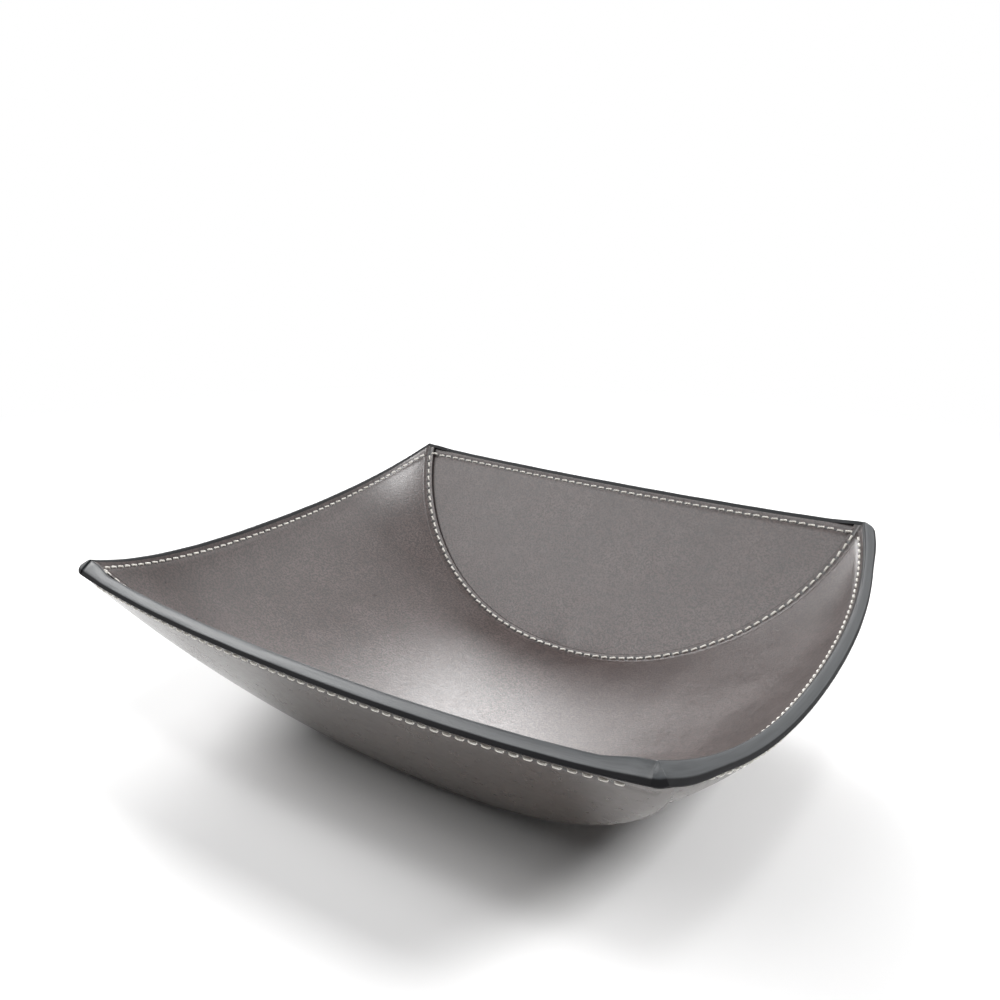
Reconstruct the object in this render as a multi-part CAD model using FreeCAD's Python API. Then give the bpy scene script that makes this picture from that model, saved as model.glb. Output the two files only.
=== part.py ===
import FreeCAD, Part
import math
import os

Vector = FreeCAD.Vector

# A stitched leather valet tray. X runs left to right, Y front to rear and Z up, with the
# origin on the table under the middle of the tray. Sizes are millimetres, angles are degrees.

# The seam between the main panel and an end panel is an arc in a slanting plane:
# from one rim corner, down to the floor, and up to the next rim corner.
seam_radius = 97.0
seam_depth = 74.4
seam_tilt = 53.5
floor_length = 92.0
floor_ease = 1.0

# The side walls bow out and dip at the middle of their rims, and the end panels swell outwards.
# The fullness makes these curves flatter in the middle and quicker near the corners.
wall_bow = 11.0
wall_dip = 14.4
wall_fullness = 0.4
end_bow = 5.7
end_swell = 4.8
end_fullness = 0.25

# Every panel is a lining, a stiffener and a cover, with a line of bond between them.
lining_thickness = 1.45
stiffener_thickness = 1.0
cover_thickness = 1.45
bond_line = 0.05

# The main lining laps over the end linings, and the end covers lap over the main cover.
lining_lap = 2.7
cover_lap = 2.2
butt_gap = 0.3
corner_trim = 2.5
stiffener_setback = 7.0

# The laps are pressed flat where the tray stands, and the rims are closed by a crowned coat.
foot_flat = 0.4
coat_crown = 0.4

# One row of stitches runs along each rim and each seam. Near the corners the rim rows draw in
# towards the end of the seam's row.
stitch_pitch = 3.42
stitch_length = 2.4
thread_diameter = 0.8
thread_seat = 0.03
stitch_slant = 8.0
rim_margin = 2.5
corner_draw = 1.4
seam_margin = 1.2

# How finely the surfaces are ruled, and how quickly a layer turns into its mitre at a seam.
turn_count = 41
across_count = 17
down_count = 13
strip_count = 4
row_samples = 240
mitre_power = 6
draw_power = 12
spline_degree = 3
probe_length = 0.01
crown_shares = ((0, 0), (0, 0.9), (0.5, 1.3), (1, 0.9), (1, 0))

# Depths are measured outwards from the inner face of the main lining.
lining_back = lining_thickness
stiffener_front = lining_back + bond_line
stiffener_back = stiffener_front + stiffener_thickness
cover_front = stiffener_back + bond_line
cover_back = cover_front + cover_thickness
end_lining_front = lining_back + bond_line
end_lining_back = end_lining_front + lining_thickness
end_cover_front = cover_back + bond_line
end_cover_back = end_cover_front + cover_thickness
end_stiffener_front = end_lining_back + bond_line
end_stiffener_back = end_cover_front - bond_line

# The seam's circle and the rim corners follow from its radius, depth and tilt.
tilt = math.radians(seam_tilt)
circle_drop = seam_radius - seam_depth
rim_turn = math.acos(circle_drop / seam_radius)
rim_half = seam_radius * math.sin(rim_turn)
trim_turn = math.acos((circle_drop + corner_trim) / seam_radius)
corner_y = floor_length / 2 + seam_depth * math.cos(tilt)
floor_height = end_cover_back - foot_flat
full_rise = seam_depth * math.sin(tilt)
probe_turn = probe_length / seam_radius
probe_across = probe_length / corner_y

# The swell of an end panel is zero on the seam, and these two values set it at the rim and half way.
half_depth = seam_depth / 2
half_round = 1 - ((circle_drop + half_depth) / seam_radius) ** 2
swell_at_rim = end_bow * (seam_radius / rim_half) ** 2
swell_growth = (end_swell / half_round - swell_at_rim) / half_depth


def eased(rise):
    """Height above the floor, eased so that the floor is flatter than the arc."""
    return rise * rise / (rise + floor_ease)


def seam_point(turn):
    """Point on the crease of the rear seam."""
    drop = seam_radius * math.cos(turn) - circle_drop
    y = corner_y - drop * math.cos(tilt)
    z = eased(full_rise - drop * math.sin(tilt))
    return Vector(seam_radius * math.sin(turn), y, floor_height + z)


def main_point(turn, across):
    """Point on the inner face of the main panel: across runs from -1, front seam, to 1, rear seam."""
    seam = seam_point(turn)
    share = (seam.z - floor_height) / eased(full_rise)
    middle = share * (1 - across * across) * (1 + wall_fullness * across * across)
    x = seam.x + math.copysign(wall_bow * middle, turn)
    return Vector(x, seam.y * across, seam.z - wall_dip * middle)


def end_point(x, drop):
    """Point on the face that both linings share at the rear end, drop below the rim in the slanting plane."""
    roundness = 1 - (x * x + (drop + circle_drop) ** 2) / seam_radius ** 2
    swell = roundness * (swell_at_rim + swell_growth * drop) * (1 + end_fullness * (x / rim_half) ** 2)
    y = corner_y - drop * math.cos(tilt) + swell * math.sin(tilt)
    z = eased(full_rise - drop * math.sin(tilt)) - swell * math.cos(tilt)
    return Vector(x, y, floor_height + z)


def upward_normal(surface, a, b, step_a, step_b):
    """Unit normal of a surface function, on the side that looks up into the tray."""
    along_a = surface(a + step_a, b) - surface(a - step_a, b)
    along_b = surface(a, b + step_b) - surface(a, b - step_b)
    normal = along_a.cross(along_b).normalize()
    return normal if normal.z > 0 else -normal


def main_normal(turn, across):
    return upward_normal(main_point, turn, across, probe_turn, probe_across)


def end_normal(x, drop):
    return upward_normal(end_point, x, drop, probe_length, probe_length)


def seam_drop(x, radius):
    """How far an arc of the given radius, about the seam's centre, lies below the rim at x."""
    return math.sqrt(radius * radius - x * x) - circle_drop


def mitre(turn):
    """Offset per unit depth at the crease that keeps both panels at that depth."""
    x = seam_radius * math.sin(turn)
    one = main_normal(turn, 1)
    other = end_normal(x, seam_radius * math.cos(turn) - circle_drop)
    return (one + other) * (1 / (1 + one.dot(other)))


def main_layer(turn, across, depth):
    """Main panel at a depth, running into the mitre at its seams."""
    reach = abs(across)
    blend = reach ** mitre_power
    offset = main_normal(turn, reach) + (mitre(turn) - main_normal(turn, 1)) * blend
    point = main_point(turn, reach) - offset * depth
    return Vector(point.x, math.copysign(point.y, across), point.z)


def end_layer(turn, share, depth, inset=0):
    """Rear end panel at a depth: share runs from 0, at the rim, to 1, at the crease or inset from it."""
    x = seam_radius * math.sin(turn)
    crease = seam_drop(x, seam_radius)
    drop = share * (crease - inset)
    blend = (drop / crease) ** mitre_power
    offset = end_normal(x, drop) + (mitre(turn) - end_normal(x, crease)) * blend
    return end_point(x, drop) - offset * depth


def lap_layer(turn, share, depth):
    """Strip of the main lining on the rear end: share runs from 0, at the crease, to 1, at the lap's edge."""
    if share == 0:
        return main_layer(turn, 1, depth)
    radius = seam_radius - share * lining_lap
    sweep = turn / rim_turn * math.acos(circle_drop / radius)
    x = radius * math.sin(sweep)
    drop = radius * math.cos(sweep) - circle_drop
    return end_point(x, drop) - end_normal(x, drop) * depth


def under_layer(turn, share, depth):
    """Strip of the rear cover under the main cover: share runs from 0, at the crease, to 1, at its edge."""
    return main_layer(turn, 1 - share * cover_lap / seam_point(turn).y, depth)


def spread(count, low, high):
    return [low + (high - low) * i / (count - 1) for i in range(count)]


def clamped_knots(count, degree):
    spans = count - degree
    multiplicities = [degree + 1] + [1] * (spans - 1) + [degree + 1]
    return list(range(spans + 1)), multiplicities


def spline_surface(rows):
    """Smooth surface with these rows of points as its control net."""
    u_degree = min(spline_degree, len(rows) - 1)
    v_degree = min(spline_degree, len(rows[0]) - 1)
    u_knots, u_mults = clamped_knots(len(rows), u_degree)
    v_knots, v_mults = clamped_knots(len(rows[0]), v_degree)
    surface = Part.BSplineSurface()
    surface.buildFromPolesMultsKnots(
        rows, u_mults, v_mults, u_knots, v_knots, False, False, u_degree, v_degree
    )
    return surface


def spline_face(rows):
    return spline_surface(rows).toShape()


def column(rows, index):
    return [row[index] for row in rows]


def closed_solid(faces):
    """Solid from faces that share their edges."""
    shell = Part.makeShell(faces)
    shell.sewShape()
    solid = Part.makeSolid(Part.Shell(shell.Faces))
    if solid.Volume < 0:
        solid.reverse()
    return solid


def side_faces(top, bottom, first_row, last_row, first_column, last_column):
    """Ruled faces on the chosen sides between two grids."""
    sides = []
    if first_row:
        sides.append(spline_face([top[0], bottom[0]]))
    if last_row:
        sides.append(spline_face([top[-1], bottom[-1]]))
    if first_column:
        sides.append(spline_face([column(top, 0), column(bottom, 0)]))
    if last_column:
        sides.append(spline_face([column(top, -1), column(bottom, -1)]))
    return sides


def slab(top, bottom):
    """Solid between two grids of points."""
    faces = [spline_face(top), spline_face(bottom)]
    return closed_solid(faces + side_faces(top, bottom, True, True, True, True))


def mirrored(grid):
    """The same grid at the front of the tray."""
    return [[Vector(p.x, -p.y, p.z) for p in row] for row in grid]


def front_of(shape):
    return shape.mirror(Vector(0, 0, 0), Vector(0, 1, 0))


def left_of(shape):
    return shape.mirror(Vector(0, 0, 0), Vector(1, 0, 0))


rim_turns = spread(turn_count, -rim_turn, rim_turn)
trim_turns = spread(turn_count, -trim_turn, trim_turn)
across_shares = [math.sin(s) for s in spread(across_count, -math.pi / 2, math.pi / 2)]
down_shares = spread(down_count, 0, 1)
strip_shares = spread(strip_count, 0, 1)


def main_grid(depth, gap):
    """Main panel's grid at a depth, ending a gap short of the seams."""
    grid = []
    for turn in rim_turns:
        reach = 1 - gap / seam_point(turn).y
        grid.append([main_layer(turn, reach * s, depth) for s in across_shares])
    return grid


def end_grid(depth, inset):
    return [[end_layer(turn, s, depth, inset) for s in down_shares] for turn in trim_turns]


def lap_grid(depth):
    return [[lap_layer(turn, s, depth) for s in strip_shares] for turn in rim_turns]


def under_grid(depth):
    return [[under_layer(turn, s, depth) for s in strip_shares] for turn in trim_turns]


def stiffener_grid(depth):
    """End stiffener's grid at a depth, set back from the seam so that the thread has room."""
    radius = seam_radius - stiffener_setback
    last = math.acos((circle_drop + corner_trim) / radius)
    grid = []
    for turn in spread(turn_count, -last, last):
        x = radius * math.sin(turn)
        low = seam_drop(x, radius)
        grid.append([end_point(x, s * low) - end_normal(x, s * low) * depth for s in down_shares])
    return grid


def main_lining():
    """Inner leather of the floor and the two side walls, with a lap over each end lining."""
    top = main_grid(0, 0)
    bottom = main_grid(lining_back, 0)
    faces = [spline_face(top), spline_face(bottom)]
    faces += side_faces(top, bottom, True, True, False, False)
    lap_top = lap_grid(0)
    lap_bottom = lap_grid(lining_back)
    for upper, lower in ((lap_top, lap_bottom), (mirrored(lap_top), mirrored(lap_bottom))):
        faces += [spline_face(upper), spline_face(lower)]
        faces += side_faces(upper, lower, True, True, False, True)
    return closed_solid(faces)


def main_stiffener():
    return slab(main_grid(stiffener_front, butt_gap), main_grid(stiffener_back, butt_gap))


def main_cover():
    return slab(main_grid(cover_front, butt_gap), main_grid(cover_back, butt_gap))


def rear_lining():
    return slab(end_grid(end_lining_front, butt_gap), end_grid(end_lining_back, butt_gap))


def rear_stiffener():
    return slab(stiffener_grid(end_stiffener_front), stiffener_grid(end_stiffener_back))


def rear_cover():
    """Outer leather of the rear end, with its lap under the main cover, pressed flat where it stands."""
    top = end_grid(end_cover_front, 0)
    bottom = end_grid(end_cover_back, 0)
    faces = [spline_face(top), spline_face(bottom)]
    faces += side_faces(top, bottom, True, True, True, False)
    under_top = under_grid(end_cover_front)
    under_bottom = under_grid(end_cover_back)
    faces += [spline_face(under_top), spline_face(under_bottom)]
    faces += side_faces(under_top, under_bottom, True, True, False, True)
    table = Part.makeBox(2 * rim_half, 2 * corner_y, end_cover_back)
    table.translate(Vector(-rim_half, 0, -end_cover_back))
    return closed_solid(faces).cut(table)


def coat(front_edge, back_edge, outward):
    """Crowned strip on a rim, between the front and back edges of the panel's layers."""
    count = len(front_edge)
    crown = []
    for i in range(count):
        low = front_edge[i] + outward[i] * bond_line
        width = back_edge[i] - front_edge[i]
        crown.append([low + width * a + outward[i] * (coat_crown * h) for a, h in crown_shares])
    base = [[row[0], row[-1]] for row in crown]
    faces = [spline_face(crown), spline_face(base)]
    for row in (crown[0], crown[-1]):
        knots, multiplicities = clamped_knots(len(row), spline_degree)
        curve = Part.BSplineCurve()
        curve.buildFromPolesMultsKnots(row, multiplicities, knots, False, spline_degree)
        chord = Part.LineSegment(row[-1], row[0])
        faces.append(Part.Face(Part.Wire([curve.toShape(), chord.toShape()])))
    return closed_solid(faces)


def wall_outward(across):
    """Direction in which the right wall would run on past its rim."""
    return (main_point(rim_turn, across) - main_point(rim_turn - probe_turn, across)).normalize()


def end_outward(x):
    """Direction in which the rear end would run on past its rim."""
    return (end_point(x, 0) - end_point(x, probe_length)).normalize()


def right_rim_coat():
    """Coat on the rim of the right wall, over the edges of its three layers."""
    front = [main_layer(rim_turn, s, 0) for s in across_shares]
    back = [main_layer(rim_turn, s, cover_back) for s in across_shares]
    return coat(front, back, [wall_outward(s) for s in across_shares])


def rear_rim_coat():
    """Coat on the rim of the rear end, over the edges of its three layers."""
    front = [end_layer(turn, 0, end_lining_front) for turn in trim_turns]
    back = [end_layer(turn, 0, end_cover_back) for turn in trim_turns]
    outward = [end_outward(seam_radius * math.sin(turn)) for turn in trim_turns]
    return coat(front, back, outward)


def stitch():
    """One stitch above the leather: half a rounded bar along X, flat side down."""
    radius = thread_diameter / 2
    straight = stitch_length - thread_diameter
    bar = Part.makeCylinder(radius, straight, Vector(-straight / 2, 0, 0), Vector(1, 0, 0))
    ends = [Part.makeSphere(radius, Vector(side * straight / 2, 0, 0)) for side in (-1, 1)]
    below = Part.makeBox(2 * stitch_length, 2 * thread_diameter, thread_diameter)
    below.translate(Vector(-stitch_length, -thread_diameter, -thread_diameter))
    return bar.fuse(ends).removeSplitter().cut(below)


single_stitch = stitch()


def seated_stitch(surface, point, tangent, upward):
    """A stitch laid on a surface near a point, slanting across the row."""
    u, v = surface.parameter(point)
    normal = surface.normal(u, v)
    if (normal.z > 0) != upward:
        normal = -normal
    side = normal.cross(tangent).normalize()
    forward = side.cross(normal)
    slant = math.radians(stitch_slant)
    along = forward * math.cos(slant) + side * math.sin(slant)
    beside = normal.cross(along)
    seat = surface.value(u, v) + normal * thread_seat
    turned = FreeCAD.Matrix(
        along.x, beside.x, normal.x, seat.x,
        along.y, beside.y, normal.y, seat.y,
        along.z, beside.z, normal.z, seat.z,
        0, 0, 0, 1,
    )
    laid = single_stitch.copy()
    laid.Placement = FreeCAD.Placement(turned)
    return laid


def stitch_places(path):
    """Points a pitch apart along a path, centred on it, each with the path's direction."""
    points = [path(s) for s in spread(row_samples, -1, 1)]
    lengths = [0]
    for a, b in zip(points, points[1:]):
        lengths.append(lengths[-1] + (b - a).Length)
    count = int(lengths[-1] / stitch_pitch)
    first = (lengths[-1] - (count - 1) * stitch_pitch) / 2
    places = []
    for k in range(count):
        wanted = first + k * stitch_pitch
        i = max(j for j in range(row_samples - 1) if lengths[j] <= wanted)
        part = (wanted - lengths[i]) / (lengths[i + 1] - lengths[i])
        step = points[i + 1] - points[i]
        places.append((points[i] + step * part, step))
    return places


corner_drop = circle_drop + rim_margin + corner_draw


def row_margin(share):
    """Distance of a rim row from the rim, where share runs from -1 to 1 between the corners."""
    return rim_margin + corner_draw * abs(share) ** draw_power


def wall_row(depth):
    """Row along the right rim, its margin below the rim edge, at a depth."""
    def path(s):
        rise = (main_point(rim_turn, s) - main_point(rim_turn - probe_turn, s)).Length
        return main_layer(rim_turn - probe_turn * row_margin(s) / rise, s, depth)
    return path


def end_row(depth):
    """Row along the rear rim, its margin below the rim edge, at a depth."""
    limit = math.sqrt(seam_radius ** 2 - corner_drop ** 2)

    def path(s):
        x = s * limit
        drop = row_margin(s)
        return end_point(x, drop) - end_normal(x, drop) * depth
    return path


def seam_row(depth):
    """Row along the rear seam, its margin inside the crease, at a depth."""
    radius = seam_radius - seam_margin
    last = math.acos(corner_drop / radius)

    def path(s):
        x = radius * math.sin(s * last)
        drop = radius * math.cos(s * last) - circle_drop
        return end_point(x, drop) - end_normal(x, drop) * depth
    return path


lap_face = spline_surface(lap_grid(0))
lap_half = math.sqrt((seam_radius - lining_lap) ** 2 - corner_drop ** 2)
under_half = corner_y - cover_lap - stitch_length


def right_rim_stitches():
    surface = spline_surface(main_grid(0, 0))
    return [seated_stitch(surface, p, t, True) for p, t in stitch_places(wall_row(0))]


def right_rim_under_stitches():
    """Outer side of the right rim's row, clear of the end covers' laps."""
    surface = spline_surface(main_grid(cover_back, butt_gap))
    places = stitch_places(wall_row(cover_back))
    return [seated_stitch(surface, p, t, False) for p, t in places if abs(p.y) < under_half]


def rear_rim_stitches():
    """Inner side of the rear rim's row, which climbs onto the lap at both ends."""
    surface = spline_surface(end_grid(end_lining_front, butt_gap))
    row = []
    for point, tangent in stitch_places(end_row(end_lining_front)):
        beyond = abs(point.x) - lap_half
        if beyond < -stitch_length / 2:
            row.append(seated_stitch(surface, point, tangent, True))
        elif abs(point.x) < rim_half - stitch_length:
            row.append(seated_stitch(lap_face, point, tangent, True))
    return row


def rear_rim_under_stitches():
    surface = spline_surface(end_grid(end_cover_back, 0))
    limit = rim_half - stitch_length
    places = stitch_places(end_row(end_cover_back))
    return [seated_stitch(surface, p, t, False) for p, t in places if abs(p.x) < limit]


def rear_seam_stitches():
    return [seated_stitch(lap_face, p, t, True) for p, t in stitch_places(seam_row(0))]


def rear_seam_under_stitches():
    """Back of the seam's row, behind the end lining, where the stiffener is set back."""
    surface = spline_surface(end_grid(end_lining_back, butt_gap))
    limit = seam_radius * math.sin(trim_turn) - stitch_length
    places = stitch_places(seam_row(end_lining_back))
    return [seated_stitch(surface, p, t, False) for p, t in places if abs(p.x) < limit]


def save(name, shape):
    shape.exportStep("parts/" + name + ".step")
    print(name, len(shape.Solids), shape.isValid(), round(shape.Volume, 1))


def save_pair(first_name, shape, second_name, second_of):
    """A piece and its mirror image on the other side of the tray."""
    save(first_name, shape)
    save(second_name, second_of(shape))


os.makedirs("parts", exist_ok=True)
save("main_lining", main_lining())
save("main_stiffener", main_stiffener())
save("main_cover", main_cover())
save_pair("rear_lining", rear_lining(), "front_lining", front_of)
save_pair("rear_stiffener", rear_stiffener(), "front_stiffener", front_of)
save_pair("rear_cover", rear_cover(), "front_cover", front_of)
save_pair("right_rim_coat", right_rim_coat(), "left_rim_coat", left_of)
save_pair("rear_rim_coat", rear_rim_coat(), "front_rim_coat", front_of)

wall_rows = (("rim_stitches", right_rim_stitches), ("rim_under_stitches", right_rim_under_stitches))
for name, row in wall_rows:
    save_pair("right_" + name, Part.makeCompound(row()), "left_" + name, left_of)

end_rows = (
    ("rim_stitches", rear_rim_stitches),
    ("rim_under_stitches", rear_rim_under_stitches),
    ("seam_stitches", rear_seam_stitches),
    ("seam_under_stitches", rear_seam_under_stitches),
)
for name, row in end_rows:
    save_pair("rear_" + name, Part.makeCompound(row()), "front_" + name, front_of)
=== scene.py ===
# %% [markdown]
# # A stitched leather valet tray
# The tray is three bonded panels: a main panel that is floor and side walls in one sweep, and two
# end panels that swell outwards. The packed solids give every size and place. This lesson dresses
# them: fine leather sheets, coated rims, real thread, soft light and a camera.

# %% Load the packed solids
import math
import bpy
import numpy as np
from mathutils import Matrix, Vector


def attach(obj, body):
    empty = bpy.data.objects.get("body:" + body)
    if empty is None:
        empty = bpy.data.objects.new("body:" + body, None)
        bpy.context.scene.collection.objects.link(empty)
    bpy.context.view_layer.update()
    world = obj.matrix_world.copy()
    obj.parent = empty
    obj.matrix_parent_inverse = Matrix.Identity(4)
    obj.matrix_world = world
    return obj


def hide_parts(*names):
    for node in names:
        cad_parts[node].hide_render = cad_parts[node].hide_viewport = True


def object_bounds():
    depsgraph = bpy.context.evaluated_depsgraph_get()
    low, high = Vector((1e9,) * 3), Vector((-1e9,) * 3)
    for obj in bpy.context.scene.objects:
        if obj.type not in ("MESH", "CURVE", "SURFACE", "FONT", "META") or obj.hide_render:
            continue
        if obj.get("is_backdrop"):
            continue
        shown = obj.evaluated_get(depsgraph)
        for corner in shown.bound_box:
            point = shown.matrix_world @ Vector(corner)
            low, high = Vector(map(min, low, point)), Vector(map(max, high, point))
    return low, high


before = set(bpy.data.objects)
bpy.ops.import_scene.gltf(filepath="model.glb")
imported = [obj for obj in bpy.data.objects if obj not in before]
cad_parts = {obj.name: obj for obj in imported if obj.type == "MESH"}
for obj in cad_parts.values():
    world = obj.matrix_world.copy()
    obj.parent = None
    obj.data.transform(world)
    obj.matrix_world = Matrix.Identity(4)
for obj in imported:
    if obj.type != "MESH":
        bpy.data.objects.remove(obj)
cad_low, cad_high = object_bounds()
print("solids span", [round(b - a, 4) for a, b in zip(cad_low, cad_high)])

# %% [markdown]
# ## Sizes of the panels
# On a bench these sizes would be in the cutting patterns. A frame file has no formulas in it, so
# they are written again here, in metres. All other places are worked out from them, which keeps
# each sheet on its solid.

# %% Sizes of the panels
seam_radius = 0.097
seam_depth = 0.0744
seam_tilt = math.radians(53.5)
floor_length = 0.0920
floor_ease = 0.001
wall_bow = 0.0110
wall_dip = 0.0144
wall_fullness = 0.4
end_bow = 0.0057
end_swell = 0.0048
end_fullness = 0.25
corner_trim = 0.0006

circle_drop = seam_radius - seam_depth
rim_turn = math.acos(circle_drop / seam_radius)
rim_half = seam_radius * math.sin(rim_turn)
trim_turn = math.acos((circle_drop + corner_trim) / seam_radius)
corner_y = floor_length / 2 + seam_depth * math.cos(seam_tilt)
full_rise = seam_depth * math.sin(seam_tilt)
half_depth = seam_depth / 2
half_round = 1 - ((circle_drop + half_depth) / seam_radius) ** 2
swell_at_rim = end_bow * (seam_radius / rim_half) ** 2
swell_growth = (end_swell / half_round - swell_at_rim) / half_depth
print("rim corner at", round(rim_half, 4), round(corner_y, 4))

# %% [markdown]
# ## Depths of the layers
# Lining, board and cover lie on one another like pages, with a thin line of glue between. Each depth
# is therefore the sum of those above it, and a thicker hide would move every layer below.

# %% Depths of the layers
leather_thickness = 0.00145
board_thickness = 0.0010
bond_line = 0.00005
lining_lap = 0.0027
cover_lap = 0.0022
foot_flat = 0.0004

cover_front = leather_thickness + board_thickness + 2 * bond_line
cover_back = cover_front + leather_thickness
end_lining_front = leather_thickness + bond_line
end_lining_back = end_lining_front + leather_thickness
end_cover_front = cover_back + bond_line
end_cover_back = end_cover_front + leather_thickness
floor_height = end_cover_back - foot_flat
print("rim is", round(cover_back, 5), "thick, and", round(end_cover_back, 5), "over the laps")

# %% [markdown]
# ## The face of the main panel
# Each panel is one smooth face, and every layer of it is that face moved outwards by a depth. The
# crease between two panels is an arc in a slanting plane, and the main panel runs from crease to
# crease. A lofted surface would do too, but a formula takes whole arrays and any number of points.

# %% Crease and main panel


def eased(rise):
    """Rise squared over rise plus the ease: flat near the floor, then as steep as before."""
    return rise * rise / (rise + floor_ease)


def seam_point(turn):
    """Point of the rear crease: an arc in a plane that slants down from the rim corners."""
    drop = seam_radius * np.cos(turn) - circle_drop
    y = corner_y - drop * math.cos(seam_tilt)
    z = floor_height + eased(full_rise - drop * math.sin(seam_tilt))
    return np.stack([seam_radius * np.sin(turn), y, z], -1)


def main_point(turn, across):
    """Crease to crease in a full parabola that bows out and dips in proportion to the height."""
    turn, across = np.broadcast_arrays(turn, across)
    seam = seam_point(turn)
    share = (seam[..., 2] - floor_height) / eased(full_rise)
    middle = share * (1 - across ** 2) * (1 + wall_fullness * across ** 2)
    x = seam[..., 0] + np.sign(turn) * wall_bow * middle
    return np.stack([x, seam[..., 1] * across, seam[..., 2] - wall_dip * middle], -1)


print("floor at", round(float(main_point(np.zeros(1), np.zeros(1))[0, 2]), 5))

# %% [markdown]
# ## The face of an end panel
# An end panel is flat leather that was pressed over a form, so it swells outwards. The swell has a
# factor that is zero on the seam's circle, so the edge stays where the main panel expects it.

# %% End panel


def end_point(x, drop):
    """Point of the slanting plane, pushed outwards by a swell that is zero on the seam's circle."""
    x, drop = np.broadcast_arrays(x, drop)
    roundness = 1 - (x * x + (drop + circle_drop) ** 2) / seam_radius ** 2
    swell = roundness * (swell_at_rim + swell_growth * drop) * (1 + end_fullness * (x / rim_half) ** 2)
    y = corner_y - drop * math.cos(seam_tilt) + swell * math.sin(seam_tilt)
    z = eased(full_rise - drop * math.sin(seam_tilt)) - swell * math.cos(seam_tilt)
    return np.stack([x, y, floor_height + z], -1)


def seam_drop(x):
    """How far the crease lies below the rim at x: the circle's height there."""
    return np.sqrt(seam_radius ** 2 - x * x) - circle_drop


print("middle of the rear rim at", np.round(end_point(np.zeros(1), np.zeros(1))[0], 4))

# %% [markdown]
# ## Normals and the mitre
# A layer is moved along the face's normal. Small steps to either side give the normal, which spares
# us the derivatives. On the crease two normals meet, and the layers join on their mitre, as the sides
# of a picture frame do.

# %% Normals and mitre
probe = 1e-5


def unit(vectors):
    """Each vector divided by its length."""
    return vectors / np.linalg.norm(vectors, axis=-1, keepdims=True)


def upward_normal(face, a, b, step_a, step_b):
    """Cross product of the face's small steps, turned to the side that looks up."""
    a, b = np.broadcast_arrays(a, b)
    along_a = face(a + step_a, b) - face(a - step_a, b)
    along_b = face(a, b + step_b) - face(a, b - step_b)
    normal = unit(np.cross(along_a, along_b))
    return normal * np.where(normal[..., 2:] < 0, -1, 1)


def main_normal(turn, across):
    """Normal of the main panel, into the tray."""
    return upward_normal(main_point, turn, across, probe / seam_radius, probe / corner_y)


def end_normal(x, drop):
    """Normal of an end panel, into the tray."""
    return upward_normal(end_point, x, drop, probe, probe)


def mitre(turn):
    """Offset per unit depth along the crease: the two normals' sum over one plus their product."""
    one = main_normal(turn, np.ones_like(turn))
    other = end_normal(seam_radius * np.sin(turn), seam_radius * np.cos(turn) - circle_drop)
    return (one + other) / (1 + np.sum(one * other, axis=-1, keepdims=True))


print("mitre at the floor is", round(float(np.linalg.norm(mitre(np.zeros(1)))), 3), "depths long")

# %% [markdown]
# ## Panels at a depth
# The layers are cut to patterns that share one face, so each is that face at its own depth. The lap
# of the main lining lies on the end panel, in circles that shrink from the seam.

# %% Faces at a depth


def main_at(turn, across, depth):
    """Main panel's face moved outwards by a depth."""
    return main_point(turn, across) - main_normal(turn, across) * depth[..., None]


def lap_at(turn, share, depth):
    """Strip of the main lining on the end panel: circles that shrink from the seam's radius."""
    radius = seam_radius - share * lining_lap
    sweep = turn / rim_turn * np.arccos(circle_drop / radius)
    x = radius * np.sin(sweep)
    drop = radius * np.cos(sweep) - circle_drop
    return end_point(x, drop) - end_normal(x, drop) * depth[..., None]


def end_at(turn, share, depth):
    """End panel's face moved outwards by a depth, from the rim at 0 to the crease at 1."""
    x = seam_radius * np.sin(turn)
    drop = share * seam_drop(x)
    return end_point(x, drop) - end_normal(x, drop) * depth[..., None]


def crease_at(turn, depth):
    """The crease at a depth, on the mitre of the two panels."""
    return seam_point(turn) - mitre(turn) * depth[..., None]


def rear_or_front(points, place):
    """The same points, at the front where the place is negative."""
    return points * np.stack([np.ones_like(place), np.where(place < 0, -1, 1), np.ones_like(place)], -1)


cover_middle = main_at(np.zeros(1), np.zeros(1), np.full(1, cover_back))[0]
print("main cover hangs to", round(float(cover_middle[2]), 5))

# %% [markdown]
# ## Leather that bends round a crease
# A hide doesn't fold to a knife edge. Near a crease the sheet follows a parabola that starts on one
# panel, ends on the other and has the crease as its corner, so it is smooth on both sides. A Bevel
# modifier would round the crease too, but it would round the cut edge of the lap as well.

# %% Sheets that lap over a crease
crease_round = 0.0022
lap_round_share = 0.5
end_round_share = 0.6
cover_round_share = 0.6


def bent(share, start, corner, end):
    """Parabola from start to end, drawn towards the corner."""
    t = np.clip(share, 0, 1)[..., None]
    return (1 - t) ** 2 * start + 2 * t * (1 - t) * corner + t * t * end


def main_lining_at(turn, place, depth):
    """Places -1 to 1 lie between the creases and those out to 2 on the laps, bent between."""
    turn, place, depth = np.broadcast_arrays(turn, place, depth)
    reach = np.abs(place)
    near = 1 - crease_round / seam_point(turn)[..., 1]
    far = 1 + lap_round_share
    wall = main_at(turn, np.minimum(reach, near), depth)
    lap = lap_at(turn, np.maximum(reach, far) - 1, depth)
    bend = bent((reach - near) / (far - near), wall, crease_at(turn, depth), lap)
    on_lap = (reach >= far)[..., None]
    return rear_or_front(np.where(on_lap, lap, bend), place)


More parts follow.
